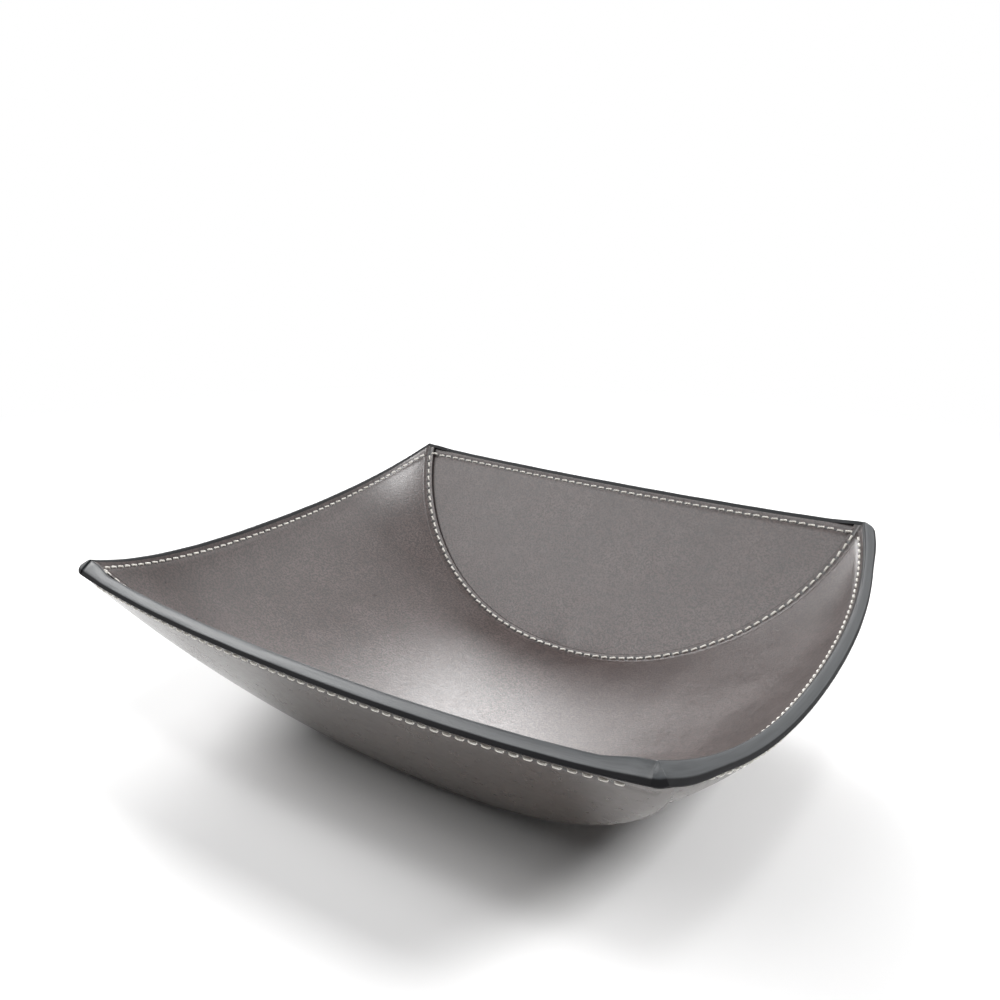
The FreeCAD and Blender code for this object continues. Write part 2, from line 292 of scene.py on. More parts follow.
def end_cover_at(turn, place, depth):
    """Rim at 0, crease at 1 and the lap's edge under the main cover at 2; flat on the table."""
    turn, place, depth = np.broadcast_arrays(turn, place, depth)
    drop = seam_drop(seam_radius * np.sin(turn))
    near = 1 - np.minimum(crease_round / drop, end_round_share)
    far = 1 + cover_round_share
    end = end_at(turn, np.minimum(place, near), depth)
    reach = 1 - (np.maximum(place, far) - 1) * cover_lap / seam_point(turn)[..., 1]
    under = main_at(turn, reach, depth)
    bend = bent((place - near) / (far - near), end, crease_at(turn, depth), under)
    points = np.where((place >= far)[..., None], under, bend)
    points[..., 2] = np.maximum(points[..., 2], 0)
    return points


lap_edge = main_lining_at(np.zeros(1), np.full(1, 2.0), np.zeros(1))[0]
print("lap of the lining ends at", np.round(lap_edge, 4))

# %% [markdown]
# ## Leather that stops at a crease
# The main cover and the end linings stop at the crease, under the laps. They keep their depth over
# the panel and run into the mitre close to the edge, by a high power of the way there.

# %% Layers that stop at a crease
mitre_power = 6


def main_layer_at(turn, across, depth):
    """Main panel at a depth, running into the mitre as a high power of the reach."""
    turn, across, depth = np.broadcast_arrays(turn, across, depth)
    reach = np.abs(across)
    edge = np.ones_like(reach)
    blend = (reach ** mitre_power)[..., None]
    offset = main_normal(turn, reach) + (mitre(turn) - main_normal(turn, edge)) * blend
    return rear_or_front(main_point(turn, reach) - offset * depth[..., None], across)


def end_layer_at(turn, share, depth):
    """End panel at a depth, running into the mitre as a high power of the share."""
    turn, share, depth = np.broadcast_arrays(turn, share, depth)
    x = seam_radius * np.sin(turn)
    crease = seam_drop(x)
    drop = share * crease
    blend = (share ** mitre_power)[..., None]
    offset = end_normal(x, drop) + (mitre(turn) - end_normal(x, crease)) * blend
    return end_point(x, drop) - offset * depth[..., None]


at_crease = (np.zeros(1), np.ones(1), np.full(1, cover_back))
miss = main_layer_at(*at_crease) - end_layer_at(*at_crease)
print("layers miss on the mitre by", float(np.abs(miss).max()))

# %% [markdown]
# ## Where the stitches lie
# A sewing machine feeds the leather by the same length for each stitch. Each row is therefore a
# table of arc length against the parameter that runs along it. The table gives the places of the
# stitches, and also a phase for every point of the leather near the row, so that the needle holes,
# painted as shade in the material, fall between the stitches.

# %% A row of stitches
stitch_pitch = 0.00342
row_samples = 1201
inch = 0.0254


class Row:
    """A row of stitches: the path's length over the pitch, so that stitches are whole numbers."""

    def __init__(self, path, limit):
        self.value = np.linspace(-limit, limit, row_samples)
        steps = np.linalg.norm(np.diff(path(self.value), axis=0), axis=1)
        length = np.concatenate([[0], np.cumsum(steps)])
        self.count = int(length[-1] / stitch_pitch)
        self.phases = (length - length[-1] / 2) / stitch_pitch + (self.count - 1) / 2

    def phase(self, value):
        """Phase of a value of the path's parameter."""
        return np.interp(value, self.value, self.phases)

    def places(self):
        """Parameter of each stitch."""
        return np.interp(np.arange(self.count), self.phases, self.value)


print("stitches to the inch", round(inch / stitch_pitch, 1))

# %% [markdown]
# ## The tray's rows
# One row follows each rim and one each seam. The rim rows draw in near the corners, because the
# sewer steers towards the end of the seam, so their margin grows by a high power of the way there.

# %% Rows along the rims and seams
rim_margin = 0.0025
corner_draw = 0.0014
draw_power = 12
seam_margin = 0.0012


def row_margin(share):
    """Distance of a rim row from the rim: larger by a high power of the share near the corners."""
    return rim_margin + corner_draw * np.abs(share) ** draw_power


def wall_row_turn(across):
    """Turn that lies the row's margin inside the rim, by the length of the panel's step there."""
    step = main_point(rim_turn, across) - main_point(rim_turn - probe, across)
    return rim_turn - row_margin(across) * probe / np.linalg.norm(step, axis=-1)


seam_row_radius = seam_radius - seam_margin
seam_row_share = seam_margin / lining_lap
corner_drop = circle_drop + rim_margin + corner_draw
seam_row_limit = rim_turn * math.acos(corner_drop / seam_row_radius)
seam_row_limit /= math.acos(circle_drop / seam_row_radius)
end_row_limit = math.sqrt(seam_radius ** 2 - corner_drop ** 2)

wall_row = Row(lambda v: main_point(wall_row_turn(v), v), 1)
seam_row = Row(lambda t: lap_at(t, np.full_like(t, seam_row_share), np.zeros_like(t)), seam_row_limit)
end_row = Row(lambda x: end_point(x, row_margin(x / end_row_limit)), end_row_limit)
print("stitches per wall, seam and end rim:", wall_row.count, seam_row.count, end_row.count)

# %% [markdown]
# ## The groove under the thread
# The thread is pulled tight, so the leather sinks a little along each row. The groove is a bell
# curve of the distance from the row, and it is added to the depth of the sheet. A bump map could
# shade a groove too, but only a real one lets the thread sink into the leather.

# %% Groove and distance from a row
groove_depth = 0.00022
groove_width = 0.0010


def groove(distance):
    """Bell curve of the distance from a row."""
    return groove_depth * np.exp(-(distance / groove_width) ** 2)


def wall_row_distance(turn, across):
    """Signed distance from the row along a wall's rim."""
    step = main_point(rim_turn, across) - main_point(rim_turn - probe, across)
    return (rim_turn - np.abs(turn)) * np.linalg.norm(step, axis=-1) / probe - row_margin(across)


print("groove has faded at the rim to", round(float(groove(rim_margin) / groove_depth), 4))

# %% [markdown]
# ## Row coordinates of each sheet
# The leather needs to know where its holes are. These functions give, for each point of a sheet, the
# phase along its nearest row and the distance from it. The main lining has three kinds of rows, so
# there the nearest one counts.

# %% Rows on each sheet
far_away = 0.05


def nearest(rows):
    """Phase and distance of whichever row is nearest, from pairs of phase and distance."""
    phases = np.stack([np.broadcast_arrays(p, d)[0] for p, d in rows])
    distances = np.stack([np.broadcast_arrays(p, d)[1] for p, d in rows])
    best = np.argmin(np.abs(distances), axis=0)[None]
    phase = np.take_along_axis(phases, best, 0)[0]
    return phase, np.take_along_axis(distances, best, 0)[0]


def main_lining_rows(turn, place):
    """Rows on the main lining: both walls, both seams and the ends' rims on the laps."""
    turn, place = np.broadcast_arrays(turn, place)
    reach = np.abs(place)
    across = np.clip(place, -1, 1)
    on_lap = reach > 1
    share = np.maximum(reach - 1, 0)
    seam_distance = np.where(on_lap, share * lining_lap, (reach - 1) * seam_point(turn)[..., 1])
    lap = lap_at(turn, share, np.zeros_like(share))
    radius = seam_radius - share * lining_lap
    sweep = turn / rim_turn * np.arccos(circle_drop / radius)
    margin = row_margin(np.clip(lap[..., 0] / end_row_limit, -1, 1))
    end_distance = np.where(on_lap, radius * np.cos(sweep) - circle_drop - margin, far_away)
    return nearest([
        (wall_row.phase(across), np.where(on_lap, far_away, wall_row_distance(turn, across))),
        (seam_row.phase(turn), seam_margin - seam_distance),
        (end_row.phase(lap[..., 0]), -end_distance),
    ])


def end_rows(turn, place):
    """Row on an end panel: its rim."""
    turn, place = np.broadcast_arrays(turn, place)
    x = seam_radius * np.sin(turn)
    margin = row_margin(np.clip(x / end_row_limit, -1, 1))
    distance = np.where(place > 1, far_away, np.minimum(place, 1) * seam_drop(x) - margin)
    return end_row.phase(x), distance


def main_cover_rows(turn, place):
    """Rows on the main cover: the rims of both walls."""
    turn, place = np.broadcast_arrays(turn, place)
    return wall_row.phase(place), wall_row_distance(turn, place)


floor_distance = main_lining_rows(np.zeros(1), np.zeros(1))[1][0]
print("middle of the floor is", round(float(floor_distance), 4), "from a row")

# %% [markdown]
# ## Quads from loops
# A sheet of leather is a loop of points, out along its front and home along its back, carried along
# the turns of the seam. Quads join neighbouring loops, and a ladder of quads between front and back
# closes the first loop and the last. Solidify could give thickness too, but not rounded edges.

# %% Quads of a run of loops


def grid_quads(rows, columns):
    """Quads of a grid whose columns close into a loop."""
    r, c = np.meshgrid(np.arange(rows - 1), np.arange(columns), indexing="ij")
    n = (c + 1) % columns
    near = r * columns
    far = near + columns
    return np.stack([near + c, near + n, far + n, far + c], -1).reshape(-1, 4)


def ladder_quads(columns):
    """Quads that close one loop, from each front point to the back point opposite."""
    j = np.arange(columns // 2 - 1)
    return np.stack([j, columns - 1 - j, columns - 2 - j, j + 1], -1)


def closed_quads(rows, columns):
    """Quads of a run of loops, with a ladder across the first loop and across the last."""
    ladder = ladder_quads(columns)
    return np.concatenate([grid_quads(rows, columns), ladder[:, ::-1], ladder + (rows - 1) * columns])


print("two loops of eight points take", len(closed_quads(2, 8)), "quads")

# %% [markdown]
# ## From arrays to pieces
# A piece is one closed mesh at the origin that rides on the tray's only body. Its attribute `row`
# takes the phase, the distance and the share of edge dye and painted shade to the material. The
# signed volume shows whether the faces look out, and a mirrored copy is turned again.

# %% Pieces
sharp_angle = math.radians(40)


def new_piece(name, points, quads, row=None):
    """Mesh object at the origin from arrays of points and quads, faced out and shaded smooth."""
    mesh = bpy.data.meshes.new(name)
    mesh.from_pydata(points.reshape(-1, 3), [], quads.tolist())
    mesh.polygons.foreach_set("use_smooth", np.ones(len(mesh.polygons), bool))
    mesh.set_sharp_from_angle(angle=sharp_angle)
    if row is not None:
        attribute = mesh.attributes.new("row", "FLOAT_VECTOR", "POINT")
        attribute.data.foreach_set("vector", row.astype(np.float32).ravel())
    face_outwards(mesh)
    return placed(name, mesh)


def face_outwards(mesh):
    """Flips the mesh if its signed volume, the sum of its triangles' triple products, is negative."""
    mesh.calc_loop_triangles()
    corners = np.zeros(len(mesh.loop_triangles) * 3, np.int64)
    mesh.loop_triangles.foreach_get("vertices", corners)
    points = np.zeros(len(mesh.vertices) * 3)
    mesh.vertices.foreach_get("co", points)
    a, b, c = points.reshape(-1, 3)[corners].reshape(-1, 3, 3).transpose(1, 0, 2)
    if np.sum(a * np.cross(b, c)) < 0:
        mesh.flip_normals()


def placed(name, mesh):
    """Object at the origin that holds the mesh and rides on the tray."""
    piece = bpy.data.objects.new(name, mesh)
    bpy.context.scene.collection.objects.link(piece)
    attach(piece, "root")
    return piece


def mirrored_piece(piece, name, axis):
    """Copy of a piece on the other side of the tray, with its faces turned out again."""
    mesh = piece.data.copy()
    scale = Vector((1, 1, 1))
    scale[axis] = -1
    mesh.transform(Matrix.Diagonal(scale).to_4x4())
    mesh.flip_normals()
    mesh.name = name
    return placed(name, mesh)


print("edges over", round(math.degrees(sharp_angle)), "degrees stay sharp")

# %% [markdown]
# ## A sheet with worked edges
# A leather worker takes the arris off a cut edge and dyes it. So the loop of a sheet ends in quarter
# circles where its edge shows, and the dye grows along them. Where an edge is hidden under a lap or a
# coat it stays square.

# %% Leather sheets
arris = 0.00035
arris_steps = np.array([0.0, 0.3, 0.6, 0.85, 1.0])


def leather_loop(places, front, back, low_unit, high_unit):
    """Places and depths of a loop: out at the front depth, home at the back depth. Where a unit is
    given, in metres per place, that end has rounded edges, a quarter circle of the arris."""
    angle = arris_steps * math.pi / 2
    rise = arris * (1 - np.cos(angle))
    inset = arris * (1 - np.sin(angle))
    middle = places
    depth = np.full_like(places, front)
    dye_and_shade = np.zeros_like(places)
    under = np.full_like(places, back)
    if high_unit:
        edge = places[-1] - inset / high_unit
        middle = np.concatenate([middle[middle < edge[0]], edge])
        depth = np.concatenate([np.full(len(middle) - len(edge), front), front + rise])
        under = np.concatenate([np.full(len(middle) - len(edge), back), back - rise])
        dye_and_shade = np.concatenate([np.zeros(len(middle) - len(edge)), arris_steps])
    if low_unit:
        edge = (places[0] + inset / low_unit)[::-1]
        keep = middle > edge[-1]
        middle = np.concatenate([edge, middle[keep]])
        depth = np.concatenate([(front + rise)[::-1], depth[keep]])
        under = np.concatenate([(back - rise)[::-1], under[keep]])
        dye_and_shade = np.concatenate([arris_steps[::-1], dye_and_shade[keep]])
    place_loop = np.concatenate([middle, middle[::-1]])
    depth_loop = np.concatenate([depth, under[::-1]])
    return place_loop, depth_loop, np.concatenate([dye_and_shade, dye_and_shade[::-1]])


def leather_sheet(name, surface, rows_of, turns, loop, grooved_front, lap_shade=None):
    """Closed sheet: the surface at each turn and loop place, sunk by the groove on its stitched side.
    A painted shade, if given, adds to the dye of the edges."""
    place, depth, dye_and_shade = loop
    columns = len(place)
    turn = turns[:, None]
    phase, distance = rows_of(turn, place[None])
    front_side = np.arange(columns) < columns // 2
    sunk = groove(distance) * (front_side if grooved_front else -1.0 * ~front_side)
    points = surface(turn, place[None], depth[None] + sunk)
    dye_and_shade = dye_and_shade[None] if lap_shade is None else np.maximum(dye_and_shade[None], lap_shade(turn, place[None]))
    row = np.stack(np.broadcast_arrays(phase, distance / stitch_pitch, dye_and_shade), -1)
    return new_piece(name, points, closed_quads(len(turns), columns), row)


print("a cut edge is rounded over", round(2 * arris / leather_thickness, 2), "of its thickness")

# %% [markdown]
# ## Points where they are needed
# Points are closest together where the shape changes fastest: at the rims, in the creases and along
# the stitched rows. Spacing them evenly would waste faces on the plain middle of the panels.

# %% Spacing of the points
turn_steps = 121
rim_band = 0.0264
rim_steps = 26
end_turn_steps = 181
length_steps = 57
crease_band = 0.1
crease_steps = 12
cover_band = 0.08
cover_steps = 20
down_band = 0.16
down_band_steps = 22
down_steps = 30
lap_steps = 15
under_steps = 16
hidden_edge = 0.995


def dense_ends(limit, edge_width, steps, edge_steps):
    """Values from minus the limit to the limit, with extra steps in a band inside each end."""
    middle = np.linspace(-limit + edge_width, limit - edge_width, steps)
    edge = np.linspace(limit - edge_width, limit, edge_steps)[1:]
    return np.concatenate([-edge[::-1], middle, edge])


main_turns = dense_ends(rim_turn, rim_band / seam_radius, turn_steps, rim_steps)
end_turns = np.linspace(-trim_turn, trim_turn, end_turn_steps)
lap_places = np.linspace(1, 2, lap_steps)[1:]
wall_places = dense_ends(1, crease_band, length_steps, crease_steps)
lining_places = np.concatenate([-lap_places[::-1], wall_places, lap_places])
main_cover_places = dense_ends(1, cover_band, length_steps, cover_steps) * hidden_edge
rim_places = np.linspace(0, down_band, down_band_steps)[:-1]
down_places = np.concatenate([rim_places, np.linspace(down_band, 1, down_steps)])
cover_places = np.concatenate([down_places, np.linspace(1, 2, under_steps)[1:]])
print("turns and places of the main lining:", len(main_turns), len(lining_places))

# %% [markdown]
# ## Linings and covers
# The main lining is cut with laps that cover the seams inside, and the end covers lap over the main
# cover outside. A strip of painted shade darkens the main cover a little way beyond the lap's edge,
# where the step would cast shade. The front pieces are mirror images of the rear ones, as they would
# be cut from one pattern.

# %% Linings and covers
# Painted shade beside the lap's edge: how far it reaches onto the main cover and how fast it fades.
shade_reach = 0.0013
shade_fade = 0.0005


def smooth_step(value):
    """Cubic from 0 to 1 that is level at both ends."""
    t = np.clip(value, 0, 1)
    return t * t * (3 - 2 * t)


def lap_edge_shade(turn, place):
    """Painted shade on the main cover beside the lap's edge, where its step shades: a step of the
    distance from the crease.
    """
    distance = (1 - np.abs(place)) * seam_point(turn)[..., 1]
    return smooth_step((cover_lap + shade_reach - distance) / shade_fade)


main_lining = leather_sheet(
    "main_lining_leather", main_lining_at, main_lining_rows, main_turns,
    leather_loop(lining_places, 0.0, leather_thickness, lining_lap, lining_lap), True)
# The main cover takes painted shade beside the laps of the end covers.
main_cover = leather_sheet(
    "main_cover_leather", main_layer_at, main_cover_rows, main_turns,
    leather_loop(main_cover_places, cover_front, cover_back, None, None), False, lap_edge_shade)
rear_lining = leather_sheet(
    "rear_lining_leather", end_layer_at, end_rows, end_turns,
    leather_loop(down_places * hidden_edge, end_lining_front, end_lining_back, None, None), True)
rear_cover = leather_sheet(
    "rear_cover_leather", end_cover_at, end_rows, end_turns,
    leather_loop(cover_places, end_cover_front, end_cover_back, None, cover_lap), False)
front_lining = mirrored_piece(rear_lining, "front_lining_leather", 1)
front_cover = mirrored_piece(rear_cover, "front_cover_leather", 1)

linings = {"main_lining": main_lining, "rear_lining": rear_lining, "front_lining": front_lining}
covers = {"main_cover": main_cover, "rear_cover": rear_cover, "front_cover": front_cover}
for node, piece in linings.items():
    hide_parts(node)
for node, piece in covers.items():
    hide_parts(node)
print("faces", {p.name: len(p.data.polygons) for p in [*linings.values(), *covers.values()]})

# %% [markdown]
# ## Profile of the coated rims
# The cut edges of the layers are sanded, dyed and coated until they are one band with rounded edges.
# The band is a loop too: up a short skirt, over a flattened crown, and down the other skirt. Its outer
# edge is bevelled and painted black as shade, so the mesh carries the share across the band to the
# material.

# %% Profile of the coat
coat_crown = 0.0012
coat_skirt = 0.0005
coat_proud = 0.00006
coat_roundness = 0.5
coat_bevel = 0.5
bevel_start = 0.65
crown_steps = 18
coat_waver = 0.00005
long_waver = 23
short_waver = 61
waver_lean = 3


def coat_loop(crown):
    """Width shares and heights: a half round with a flat top, lowered towards the outer edge."""
    angle = np.linspace(0, math.pi, crown_steps)
    across = 0.5 - 0.5 * np.sign(np.cos(angle)) * np.abs(np.cos(angle)) ** coat_roundness
    bevel = 1 - coat_bevel * smooth_step((across - bevel_start) / (1 - bevel_start))
    height = crown * np.sin(angle) ** coat_roundness * bevel
    share = np.concatenate([[0], across, [1]])
    return share, np.concatenate([[-coat_skirt], height, [-coat_skirt]])


def rim_coat(name, edges, crown):
    """Band along a rim, from its front edge to its back edge, crowned outwards with a slight waver."""
    front, back, outward = edges
    share, height = coat_loop(crown)
    width = back - front
    proud = coat_proud / np.linalg.norm(width, axis=-1, keepdims=True)
    reach = share[None] * (1 + 2 * proud) - proud
    along = np.linspace(0, 1, len(front))[:, None]
    waver = coat_waver * np.sin(along * short_waver + waver_lean * share) * np.sin(along * long_waver)
    rise = height[None] + np.where(height[None] > 0, waver, 0)
    points = front[:, None] + width[:, None] * reach[..., None] + outward[:, None] * rise[..., None]
    row = np.stack(np.broadcast_arrays(along, share[None], 0), -1)
    return new_piece(name, points, closed_quads(len(front), len(share)), row)


print("coat stands", round(float(coat_loop(coat_crown)[1].max()), 5), "above the rim")

# %% [markdown]
# ## Path of the coats
# On the bench the coat is brushed on in one go round the rim. Here the wall coats turn round the
# corners in a fan, and the end coats butt against them. Over the laps there is one layer more, so the
# bands grow wider towards the corners, over a length that hides the step.

# %% Path of the coats
coat_steps = 201
corner_steps = 14
corner_core = 0.0001
coat_butt = 0.00005
front_crown = 0.0006
lap_fade = 0.010
cover_fade = 0.020


def wall_outward(across):
    """Direction in which the right wall would run on past its rim."""
    return unit(main_point(rim_turn, across) - main_point(rim_turn - probe, across))


def end_outward(x):
    """Direction in which the rear end would run on past its rim."""
    return unit(end_point(x, 0 * x) - end_point(x, 0 * x + probe))


def corner_fan():
    """Edges of the coat as it turns from the right wall to the rear end: normals mixed by share."""
    share = np.linspace(0, 1, corner_steps)[1:, None]
    corner = seam_point(np.array([rim_turn]))
    half = np.array([rim_half])
    wall_side = main_normal(np.array([rim_turn]), np.ones(1))
    normal = unit(wall_side * (1 - share) + end_normal(half, 0 * half) * share)
    outward = unit(wall_outward(np.ones(1)) * (1 - share) + end_outward(half) * share)
    return corner - normal * corner_core * share, corner - normal * end_cover_back, outward


def right_wall_edges():
    """Front edge, back edge and outward direction along the wall, wider over the cover's laps, and
    round both corners."""
    across = np.sin(np.linspace(-math.pi / 2, math.pi / 2, coat_steps))
    front = main_point(rim_turn, across)
    over_lap = smooth_step(((np.abs(across) - 1) * corner_y + cover_lap) / cover_fade + 1)
    depth = cover_back + (end_cover_back - cover_back) * over_lap
    back = front - main_normal(np.full_like(across, rim_turn), across) * depth[:, None]
    wall = (front, back, wall_outward(across))
    rear = corner_fan()
    nearer = [part[::-1] * [1, -1, 1] for part in rear]
    return [np.concatenate(parts) for parts in zip(nearer, wall, rear)]


def rear_end_edges():
    """Front edge, back edge and outward direction along the rear end, over the laps too."""
    reach = rim_half - coat_butt
    x = np.sin(np.linspace(-math.pi / 2, math.pi / 2, coat_steps)) * reach
    lap_rim = math.sqrt((seam_radius - lining_lap) ** 2 - circle_drop ** 2)
    on_lap = smooth_step((np.abs(x) - lap_rim) / lap_fade + 1)
    depth = end_lining_front + (corner_core - end_lining_front) * on_lap
    face = end_point(x, 0 * x)
    normal = end_normal(x, 0 * x)
    return face - normal * depth[:, None], face - normal * end_cover_back, end_outward(x)


front_edges = [part * [1, -1, 1] for part in rear_end_edges()]
right_coat = rim_coat("right_rim_coating", right_wall_edges(), coat_crown)
rear_coat = rim_coat("rear_rim_coating", rear_end_edges(), coat_crown)
front_coat = rim_coat("front_rim_coating", front_edges, front_crown)
left_coat = mirrored_piece(right_coat, "left_rim_coating", 0)
coats = {"right_rim_coat": right_coat, "left_rim_coat": left_coat,
         "rear_rim_coat": rear_coat, "front_rim_coat": front_coat}
for node, piece in coats.items():
    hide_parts(node)
print("faces", {piece.name: len(piece.data.polygons) for piece in coats.values()})

# %% [markdown]
# ## One stitch
# A stitch is a short run of two-ply thread that comes out of one hole and dives into the next. It is
# a small tube with two lobes that twist along it. A curve with a bevel would be rounder, but there are
# hundreds of stitches, so each has only a few dozen faces.

# %% One stitch
stitch_length = 0.0027
thread_diameter = 0.00082
thread_rings = 6
thread_sides = 8
ring_crowding = 0.75
ply_share = 0.10
ply_turns = 1.4
stitch_lift = 0.00012
stitch_dive = 0.00075
dive_power = 8


def stitch_tube():
    """Rings along x: the height falls with a high power of x, and the radius has two twisting lobes."""
    s = np.linspace(-1, 1, thread_rings)[:, None]
    s = np.sign(s) * np.abs(s) ** ring_crowding
    angle = np.linspace(0, 2 * math.pi, thread_sides, endpoint=False)[None]
    lobes = 1 + ply_share * np.cos(2 * angle - 2 * math.pi * ply_turns * s)
    radius = thread_diameter / 2 * lobes
    height = stitch_lift - stitch_dive * np.abs(s) ** dive_power
    x = s * stitch_length / 2 + 0 * angle
    return np.stack([x, radius * np.cos(angle), radius * np.sin(angle) + height], -1)


print("faces of a stitch", len(closed_quads(thread_rings, thread_sides)))

# %% [markdown]
# ## A row of thread
# All stitches of a row are that tube, turned to the row's own directions and slanted as a machine
# lays them. Seeded chance gives the small unevenness of leather that is fed by hand.

# %% A row of thread
stitch_slant = math.radians(8.0)
slant_spread = 1.6
length_spread = 0.025
side_spread = 0.00004
look_ahead = 1e-4
jitter = np.random.default_rng(7)


def thread_row(name, surface, values, facing):
    """A tube at each value of the row: surface gives the point, the next point and the normal side."""
    point, ahead, normal = surface(values)
    normal = unit(normal * facing)
    side = unit(np.cross(normal, ahead - point))
    forward = np.cross(side, normal)
    count = len(values)
    slant = stitch_slant + np.radians(jitter.normal(0, slant_spread, count))[:, None]
    along = forward * np.cos(slant) + side * np.sin(slant)
    beside = np.cross(normal, along)
    stretch = jitter.normal(1, length_spread, count)[:, None, None]
    shift = jitter.normal(0, side_spread, count)[:, None]
    tube = stitch_tube().reshape(1, -1, 3)
    points = (point + beside * shift)[:, None]
    points = points + along[:, None] * tube[..., :1] * stretch
    points = points + beside[:, None] * tube[..., 1:2] + normal[:, None] * tube[..., 2:]
    first = tube.shape[1] * np.arange(count)[:, None, None]
    quads = (closed_quads(thread_rings, thread_sides)[None] + first).reshape(-1, 4)
    return new_piece(name, points, quads)


def on_sheet(sheet, path, depth):
    """Surface for a row: the sheet at the row's path and depth, with the cross product of its steps."""
    def surface(values):
        def at(v, du=0.0, dv=0.0):
            a, b = path(v)
            return sheet(a + du, b + dv, np.full_like(v, depth))
        point = at(values)
        step_a = at(values, probe, 0) - at(values, -probe, 0)
        step_b = at(values, 0, probe) - at(values, 0, -probe)
        normal = unit(np.cross(step_a, step_b))
        normal = normal * np.where(normal[..., 2:] < 0, -1, 1)
        return point, at(values + look_ahead * np.ptp(values)), normal
    return surface


print("thread covers", round(stitch_length / stitch_pitch, 2), "of the pitch")

# %% [markdown]
# ## Paths of the thread
# Each row needs the turn and place at which it lies on its sheet. The rim rows of the ends climb onto
# the laps of the main lining at both ends, so those last stitches have a path of their own. Outside,
# the rows stop short of the corners, where a needle has no room.

# %% Paths of the thread
wall_values = wall_row.places()
seam_values = seam_row.places()
end_values = end_row.places()


def wall_path(v):
    """Turn and across of the row on the right wall."""
    return wall_row_turn(v), v


def seam_path(t):
    """Turn and place of the row on the rear lap."""
    return t, np.full_like(t, 1 + seam_row_share)


def end_path(x):
    """Turn and place of the row on the rear end."""
    return np.arcsin(x / seam_radius), row_margin(x / end_row_limit) / seam_drop(x)


def lap_path(x):
    """Turn and place on the rear lap of a point of the end's rim row."""
    radius = np.hypot(x, circle_drop + row_margin(x / end_row_limit))
    turn = np.arcsin(x / radius) * rim_turn / np.arccos(circle_drop / radius)
    return turn, 1 + (seam_radius - radius) / lining_lap


lap_reach = math.sqrt((seam_radius - lining_lap) ** 2 - corner_drop ** 2)
climbs = np.abs(end_values) - lap_reach >= -stitch_length / 3
clear_wall = wall_values[np.abs(wall_values) < 1 - (cover_lap + stitch_length) / corner_y]
clear_end = end_values[np.abs(end_values) < rim_half - 2 * stitch_length]
print("stitches on the laps", int(climbs.sum()), "and outside", len(clear_wall), len(clear_end))

# %% [markdown]
# ## All the thread
# The right wall and the rear end are sewn here, and the left wall and the front end are their mirror
# images. The back of the seams is hidden between two layers, so its solids stay as they are.

# %% All the thread
sewn = [
    ("right_rim_stitches", "right_rim_thread", main_lining_at, wall_path, groove_depth, wall_values, 1),
    ("right_rim_under_stitches", "right_rim_under_thread", main_layer_at, wall_path,
     cover_back - groove_depth, clear_wall, -1),
    ("rear_seam_stitches", "rear_seam_thread", main_lining_at, seam_path, groove_depth, seam_values, 1),
    ("rear_rim_stitches", "rear_rim_thread", end_layer_at, end_path,
     end_lining_front + groove_depth, end_values[~climbs], 1),
    ("rear_rim_stitches", "rear_rim_lap_thread", main_lining_at, lap_path,
     groove_depth, end_values[climbs], 1),
    ("rear_rim_under_stitches", "rear_rim_under_thread", end_cover_at, end_path,
     end_cover_back - groove_depth, clear_end, -1),
]
rows = [(node, thread_row(name, on_sheet(sheet, path, depth), values, facing))
        for node, name, sheet, path, depth, values, facing in sewn]
threads = []
for node, piece in rows:
    side, rest = node.split("_", 1)
    other, axis = ("left", 0) if side == "right" else ("front", 1)
    twin = mirrored_piece(piece, piece.name.replace(side, other, 1), axis)
    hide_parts(node)
    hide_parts(other + "_" + rest)
    threads += [piece, twin]
print("thread pieces", len(threads))

# %% [markdown]
# ## Short ways to wire a finish
# Every finish is a tree of nodes. The helpers here add one node, fill its sockets with numbers or with
# other sockets, and give back what comes out, so that a finish reads like a few sums.

# %% Wiring of the finishes


class Wiring:
    """Short ways to add nodes to one tree and to join them."""

    def __init__(self, tree):
        self.tree = tree

    def put(self, node, key, value):
        """Sets a socket, or links it where the value is another node's socket."""
        if isinstance(value, bpy.types.NodeSocket):
            self.tree.links.new(value, node.inputs[key])
        else:
            node.inputs[key].default_value = value

    def add(self, kind, inputs, **settings):
        """New node with its settings and its inputs."""
        node = self.tree.nodes.new("ShaderNode" + kind)
        for key, value in settings.items():
            setattr(node, key, value)
        for key, value in inputs.items():
            self.put(node, key, value)
        return node

    def noise(self, vector, scale, detail, rough):
        """Noise from 0 to 1."""
        inputs = {"Vector": vector, "Scale": scale, "Detail": detail, "Roughness": rough}
        return self.add("TexNoise", inputs).outputs["Fac"]

    def math(self, operation, *values):
        """One step of arithmetic on sockets or numbers."""
        return self.add("Math", dict(enumerate(values)), operation=operation).outputs[0]

    def span(self, value, low, high, to_low=0.0, to_high=1.0):
        """Smooth step of a value from one span to another."""
        inputs = {"Value": value, "From Min": low, "From Max": high}
        inputs.update({"To Min": to_low, "To Max": to_high})
        return self.add("MapRange", inputs, interpolation_type="SMOOTHSTEP").outputs["Result"]

    def mix(self, share, first, second):
        """Mix of two colours."""
        return self.add("Mix", {0: share, 6: first, 7: second}, data_type="RGBA").outputs[2]

    def bump(self, height, strength, distance):
        """Bump from a height, to which another bump can be joined."""
        return self.add("Bump", {"Height": height, "Strength": strength, "Distance": distance})

    def row(self):
        """The piece's `row` attribute."""
        return self.add("Attribute", {}, attribute_name="row").outputs["Vector"]

    def split(self, vector):
        """The three parts of a vector."""
        return self.add("SeparateXYZ", {"Vector": vector}).outputs


def new_finish(name):
    """Material with its wiring, its shader and its Object coordinates."""
    material = bpy.data.materials.new(name)
    material.use_nodes = True
    wire = Wiring(material.node_tree)
    place = wire.add("TexCoord", {}).outputs["Object"]
    return material, wire, material.node_tree.nodes["Principled BSDF"], place


print("short ways:", [name for name in vars(Wiring) if not name.startswith("_")])
